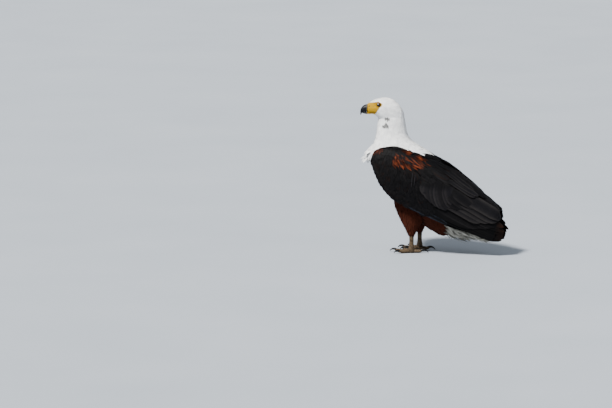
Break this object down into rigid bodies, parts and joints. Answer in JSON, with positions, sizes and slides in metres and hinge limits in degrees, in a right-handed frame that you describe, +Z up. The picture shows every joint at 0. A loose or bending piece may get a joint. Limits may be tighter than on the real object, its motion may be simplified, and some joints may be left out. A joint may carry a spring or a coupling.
{
  "type": "african fish eagle, standing museum model",
  "caption": "Life-size African fish eagle standing on flat toes, wings folded, head turned, with white head and tail, chestnut belly and black wings.",
  "frame": {"origin": "bottom centre of the bounding box, on the floor that the toes stand on", "axes": "the bird faces -Y with its left side towards +X, and +Z is up"},
  "size_m": [0.194, 0.4884, 0.5144],
  "materials": {
    "white_plumage": "soft matt feathers",
    "black_plumage": "satin feathers",
    "chestnut_plumage": "soft matt feathers",
    "yellow_skin": "satin bare skin",
    "bill_horn": "polished horn",
    "iris": "glossy wet eye",
    "leg_scales": "matt scales",
    "claw_horn": "satin horn"
  },
  "bodies": {
    "root": {"bill_lower": "bill_horn", "bill_upper": "bill_horn", "cere": "yellow_skin", "claw_left_hind": "claw_horn", "claw_left_inner": "claw_horn", "claw_left_middle": "claw_horn", "claw_left_outer": "claw_horn", "claw_right_hind": "claw_horn", "claw_right_inner": "claw_horn", "claw_right_middle": "claw_horn", "claw_right_outer": "claw_horn", "eye_left": "iris", "eye_right": "iris", "head": "white_plumage", "neck": "white_plumage", "tail": "white_plumage", "tarsus_left": "leg_scales", "tarsus_right": "leg_scales", "thigh_left": "chestnut_plumage", "thigh_right": "chestnut_plumage", "toe_left_hind": "leg_scales", "toe_left_inner": "leg_scales", "toe_left_middle": "leg_scales", "toe_left_outer": "leg_scales", "toe_right_hind": "leg_scales", "toe_right_inner": "leg_scales", "toe_right_middle": "leg_scales", "toe_right_outer": "leg_scales", "trunk": "chestnut_plumage", "undertail": "chestnut_plumage", "wing_left_coverts": "black_plumage", "wing_left_primaries": "black_plumage", "wing_left_secondaries": "black_plumage", "wing_right_coverts": "black_plumage", "wing_right_primaries": "black_plumage", "wing_right_secondaries": "black_plumage"}
  },
  "joints": []
}
